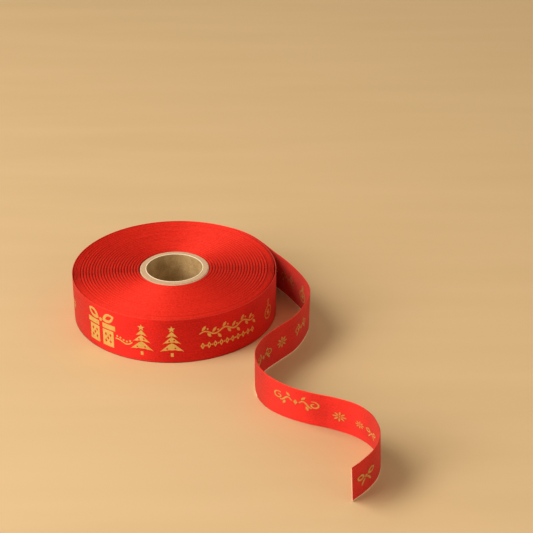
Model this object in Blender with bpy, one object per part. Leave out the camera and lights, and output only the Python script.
"""Ribbon spool: satin ribbon wound on a flangeless paper core, with its free end laid out in curves.

The spool stands on the plane Z = 0 with its axis on Z. Seen from above, the ribbon winds clockwise
towards the outside, leaves the roll at the back right, and stands on its lower edge in three bends.
The ribbon is one strip. Here it is cut into the wound pack, the loose outer turn and four stretches
of the free tail, so that the tail can go round the roll and flex at its bends.
"""

from bisect import bisect_left
from math import cos, radians, sin, sqrt

import bmesh
import bpy
from mathutils import Vector
from mathutils.geometry import interpolate_bezier

# Driving dimensions, in metres.
RIBBON_WIDTH = 0.025
RIBBON_THICKNESS = 0.00034
ROLL_RADIUS = 0.053
CORE_RADIUS = 0.0179
BORE_RADIUS = 0.0146
CORE_PLY_THICKNESS = 0.0004     # the kraft liner inside and the white wrap outside
TAPE_THICKNESS = 0.0001
TAPE_LENGTH = 0.014
TAPE_WIDTH = 0.019
GAP = 0.0003                    # left between pieces that touch
TAIL_LIFT = 0.0001              # keeps the leaning tail's lower corners above the ground

# Where the loose outer turn lets go of the roll, and how far back round the roll it reaches.
LEAVING_ANGLE = radians(60)
OUTER_TURN_ARC = radians(338)

# The tail's lower edge on the plane Z = 0, in millimetres, from just off the roll to the cut end.
TAIL_ROUTE_MM = [
    (41, 37.4), (53, 23), (63, 6), (68.5, -8), (69.8, -19), (67.3, -29.5), (62, -41.5), (55, -50.5),
    (47.5, -60), (43, -70), (42.6, -77), (44.5, -85.5), (49, -93), (57, -100), (66.5, -105),
    (78, -109.5), (88.5, -115.3), (95, -122.5), (98.2, -131), (98.7, -140), (96.2, -149),
    (91, -157), (85, -163.7),
]
BEND_LENGTHS = (0.082, 0.144, 0.235)   # distance along the lower edge to the middle of each bend

# The upper edge leans forward of the lower one. The lean builds up in two steps along the tail.
LEAN_STEPS = ((0.0, 0.038, 0.007), (0.125, 0.150, 0.002))    # start, end and amount of each
SIDE_LEAN = (0.195, 0.230, 0.0016)                           # the same, to the left, in the last curl

CORE_SEGMENTS = 96
PACK_SEGMENTS = 128
TURN_SEGMENTS = 96
STATION_STEP = 0.003                   # spacing of the cross-lines along the tail

RED_SATIN = (0.60, 0.018, 0.012, 1.0)
WHITE_PAPER = (0.80, 0.72, 0.58, 1.0)
GREY_BOARD = (0.62, 0.48, 0.34, 1.0)
BROWN_KRAFT = (0.42, 0.27, 0.13, 1.0)
CLEAR_TAPE = (0.85, 0.80, 0.66, 1.0)


def clear_scene():
    for item in list(bpy.data.objects):
        bpy.data.objects.remove(item, do_unlink=True)


def make_material(name, colour, roughness):
    material = bpy.data.materials.new(name)
    material.use_nodes = True
    shader = material.node_tree.nodes["Principled BSDF"]
    shader.inputs["Base Color"].default_value = colour
    shader.inputs["Roughness"].default_value = roughness
    shader.inputs["Metallic"].default_value = 0.0
    return material


def finish_object(name, shape, material, pivot):
    """Turn a bmesh built in world coordinates into an object whose origin is its pivot."""
    bmesh.ops.translate(shape, verts=shape.verts, vec=-pivot)
    mesh = bpy.data.meshes.new(name)
    shape.to_mesh(mesh)
    shape.free()
    mesh.shade_smooth()
    mesh.set_sharp_from_angle(angle=radians(35))
    mesh.materials.append(material)
    item = bpy.data.objects.new(name, mesh)
    item.location = pivot
    bpy.context.collection.objects.link(item)
    return item


def spin_section(inner, outer, low, high, segments, arc=radians(360), start=0.0):
    """Spin a rectangle, given by its two radii and two heights, about the Z axis."""
    shape = bmesh.new()
    heading = Vector((cos(start), sin(start), 0.0))
    corners = [(inner, low), (outer, low), (outer, high), (inner, high)]
    ring = [shape.verts.new(heading * radius + Vector((0, 0, height))) for radius, height in corners]
    section = shape.faces.new(ring)
    closed = arc > radians(359.9)
    geometry = list(ring) + list(section.edges)
    if not closed:
        geometry.append(section)
    bmesh.ops.spin(shape, geom=geometry, cent=(0, 0, 0), axis=(0, 0, 1), dvec=(0, 0, 0),
                   angle=arc, steps=segments, use_merge=closed, use_duplicate=False)
    if closed:
        bmesh.ops.delete(shape, geom=[section], context="FACES_ONLY")
    bmesh.ops.remove_doubles(shape, verts=shape.verts, dist=1e-6)
    bmesh.ops.recalc_face_normals(shape, faces=shape.faces)
    return shape


def add_ring(name, inner, outer, material):
    shape = spin_section(inner, outer, 0.0, RIBBON_WIDTH, CORE_SEGMENTS)
    return finish_object(name, shape, material, Vector((0, 0, 0)))


def add_core():
    """The core is a wound board tube, with a thin kraft ply inside it and a white ply outside."""
    liner_outer = BORE_RADIUS + CORE_PLY_THICKNESS
    wrap_inner = CORE_RADIUS - CORE_PLY_THICKNESS
    kraft = make_material("kraft_liner", BROWN_KRAFT, 0.85)
    board = make_material("core_board", GREY_BOARD, 0.90)
    paper = make_material("white_wrap", WHITE_PAPER, 0.75)
    return [
        add_ring("core_inner_liner", BORE_RADIUS, liner_outer, kraft),
        add_ring("core_board_tube", liner_outer + GAP, wrap_inner - GAP, board),
        add_ring("core_outer_wrap", wrap_inner, CORE_RADIUS, paper),
    ]


def tape_section(grow):
    """The starting tape's curved patch, or with grow above zero the pocket that clears it."""
    inner = CORE_RADIUS + GAP + TAPE_THICKNESS
    half_turn = (TAPE_LENGTH / 2 + grow) / inner
    middle = RIBBON_WIDTH / 2
    half_width = TAPE_WIDTH / 2 + grow
    low_radius = inner - grow * 2
    high_radius = inner + TAPE_THICKNESS + grow
    return spin_section(low_radius, high_radius, middle - half_width, middle + half_width,
                        12, arc=half_turn * 2, start=-half_turn)


def add_starting_tape():
    """A strip of tape that holds the ribbon's inner end on the core, under the first turn."""
    tape = make_material("starting_tape", CLEAR_TAPE, 0.35)
    return finish_object("starting_tape", tape_section(0.0), tape, Vector((0, 0, 0)))


def add_pack(satin):
    """All the turns that lie tight on each other, as one ring with a shallow pocket for the tape."""
    inner = CORE_RADIUS + GAP
    outer = ROLL_RADIUS - RIBBON_THICKNESS - GAP
    shape = spin_section(inner, outer, 0.0, RIBBON_WIDTH, PACK_SEGMENTS)
    pack = finish_object("ribbon_wound_pack", shape, satin, Vector((0, 0, 0)))
    pocket = finish_object("tape_pocket_cutter", tape_section(GAP), satin, Vector((0, 0, 0)))
    pocket.hide_render = True
    pocket.display_type = "WIRE"
    cut = pack.modifiers.new("tape_pocket", "BOOLEAN")
    cut.operation = "DIFFERENCE"
    cut.solver = "EXACT"
    cut.object = pocket
    return pack


def ease(value):
    value = min(1.0, max(0.0, value))
    return value * value * (3 - 2 * value)


def turn_radius():
    """Radius of the middle of the loose outer turn's thickness."""
    return ROLL_RADIUS - RIBBON_THICKNESS / 2


def on_turn(angle, height=0.0):
    return Vector((cos(angle) * turn_radius(), sin(angle) * turn_radius(), height))


def tail_polyline():
    """The lower edge as closely spaced points on one smooth curve through the route's points."""
    knots = [on_turn(LEAVING_ANGLE + radians(15), TAIL_LIFT), on_turn(LEAVING_ANGLE, TAIL_LIFT)]
    knots += [Vector((x / 1000, y / 1000, TAIL_LIFT)) for x, y in TAIL_ROUTE_MM]
    knots.append(knots[-1] * 2 - knots[-2])
    points = []
    for before, start, end, after in zip(knots, knots[1:], knots[2:], knots[3:]):
        span = (end - start).length
        leave = (end - before).normalized() * span / 3
        arrive = (after - start).normalized() * span / 3
        points += interpolate_bezier(start, start + leave, end - arrive, end, 24)[:-1]
    points.append(knots[-2])
    return points


class Tail:
    """The free tail: its lower edge by length, and the upper edge that leans over it."""

    def __init__(self):
        self.points = tail_polyline()
        self.lengths = [0.0]
        for start, end in zip(self.points, self.points[1:]):
            self.lengths.append(self.lengths[-1] + (end - start).length)
        self.length = self.lengths[-1]

    def lower(self, length):
        index = min(bisect_left(self.lengths, length, lo=1), len(self.points) - 1)
        before, after = self.lengths[index - 1], self.lengths[index]
        share = (length - before) / (after - before)
        return self.points[index - 1].lerp(self.points[index], share)

    def upper(self, length):
        """The edges stay one ribbon width apart, measured square to the strip."""
        lower = self.lower(length)
        ahead = self.lower(min(self.length, length + 0.001))
        behind = self.lower(max(0.0, length - 0.001))
        along = (ahead - behind).normalized()
        forward = sum(amount * ease((length - start) / (end - start)) for start, end, amount in LEAN_STEPS)
        start, end, amount = SIDE_LEAN
        lean = Vector((-amount * ease((length - start) / (end - start)), -forward, 0.0))
        sideways = (lean - along * lean.dot(along)).length
        return lower + lean + Vector((0, 0, sqrt(RIBBON_WIDTH ** 2 - sideways ** 2)))

    def pivot(self, length):
        """A bend's upright axis passes through the strip half-way up."""
        middle = (self.lower(length) + self.upper(length)) / 2
        return Vector((middle.x, middle.y, 0.0))


def add_strip(name, edges, material, pivot):
    """A strip of cross-lines from lower to upper edge, given the ribbon's thickness by Solidify."""
    shape = bmesh.new()
    rows = [(shape.verts.new(low), shape.verts.new(high)) for low, high in edges]
    for (low, high), (next_low, next_high) in zip(rows, rows[1:]):
        shape.faces.new((low, next_low, next_high, high))
    item = finish_object(name, shape, material, pivot)
    solid = item.modifiers.new("thickness", "SOLIDIFY")
    solid.thickness = RIBBON_THICKNESS
    solid.offset = 0.0
    solid.use_rim = True
    solid.use_even_offset = True
    return item


def add_outer_turn(satin):
    """The loose outer turn is round, so it slips round the pack when ribbon is drawn off."""
    first = LEAVING_ANGLE + GAP / turn_radius()
    edges = []
    for index in reversed(range(TURN_SEGMENTS + 1)):
        angle = first + OUTER_TURN_ARC * index / TURN_SEGMENTS
        edges.append((on_turn(angle), on_turn(angle, RIBBON_WIDTH)))
    return add_strip("ribbon_outer_turn", edges, satin, Vector((0, 0, 0)))


def add_tail(tail, satin):
    """Four stretches of tail, parted in the middle of each bend, where the strip flexes."""
    names = ("ribbon_tail_off_roll", "ribbon_tail_back_curl", "ribbon_tail_front_curl", "ribbon_tail_cut_end")
    starts = [0.0] + [length + GAP / 2 for length in BEND_LENGTHS]
    ends = [length - GAP / 2 for length in BEND_LENGTHS] + [tail.length]
    pivots = [Vector((0, 0, 0))] + [tail.pivot(length) for length in BEND_LENGTHS]
    stretches = []
    for name, start, end, pivot in zip(names, starts, ends, pivots):
        count = round((end - start) / STATION_STEP)
        lengths = [start + (end - start) * index / count for index in range(count + 1)]
        edges = [(tail.lower(length), tail.upper(length)) for length in lengths]
        stretches.append(add_strip(name, edges, satin, pivot))
    return stretches


def add_axes(spots):
    """One empty on each upright axis, each carried by the axis before it, as the strip is."""
    axes = []
    for name, spot in spots:
        axis = bpy.data.objects.new(name, None)
        axis.empty_display_size = 0.01
        bpy.context.collection.objects.link(axis)
        axis.location = spot
        if axes:
            axis.parent = axes[-1]
            axis.location = spot - spots[len(axes) - 1][1]
        axes.append(axis)
        print(f"{name}: x {spot.x * 1000:.3f} mm, y {spot.y * 1000:.3f} mm")
    return axes


def main():
    clear_scene()
    satin = make_material("red_satin", RED_SATIN, 0.35)
    tail = Tail()
    add_core()
    add_starting_tape()
    add_pack(satin)
    turn = add_outer_turn(satin)
    stretches = add_tail(tail, satin)

    bends = zip(("back_bend_axis", "left_bend_axis", "front_bend_axis"), BEND_LENGTHS)
    spots = [("roll_axis", Vector((0, 0, 0)))] + [(name, tail.pivot(length)) for name, length in bends]
    axes = add_axes(spots)
    for item, axis in [(turn, axes[0])] + list(zip(stretches, axes)):
        item.parent = axis
        item.location = (0, 0, 0)
    print(f"tail length {tail.length * 1000:.1f} mm")


main()
